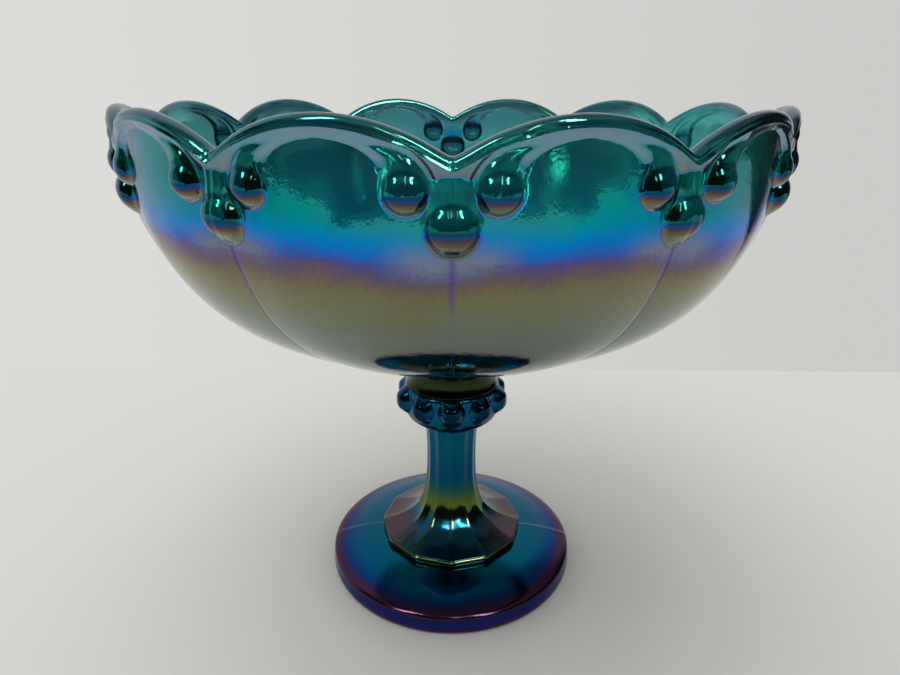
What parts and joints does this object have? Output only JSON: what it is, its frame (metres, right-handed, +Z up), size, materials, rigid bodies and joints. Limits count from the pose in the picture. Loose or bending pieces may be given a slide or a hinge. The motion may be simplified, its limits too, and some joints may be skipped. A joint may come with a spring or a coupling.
{
  "type": "footed glass fruit bowl",
  "caption": "Scalloped fruit bowl in iridescent teal-blue pressed glass, with hanging drops round the rim, on a jewelled collar, fluted stem and round foot.",
  "frame": {"origin": "centre of the foot's rest ring, on the surface that the object stands on", "axes": "+Z up along the stem; -Y towards one notch of the rim and one jewel of the collar"},
  "size_m": [0.2348, 0.2348, 0.1998],
  "materials": {
    "bowl_glass": "gloss, iridescent",
    "neck_glass": "gloss, iridescent",
    "collar_glass": "gloss, iridescent",
    "stem_glass": "gloss, iridescent",
    "step_glass": "gloss, iridescent",
    "foot_glass": "gloss, iridescent"
  },
  "bodies": {
    "root": {"bowl": "bowl_glass", "neck": "neck_glass", "jewelled_collar": "collar_glass", "fluted_stem": "stem_glass", "twelve_sided_step": "step_glass", "foot": "foot_glass"}
  },
  "joints": []
}
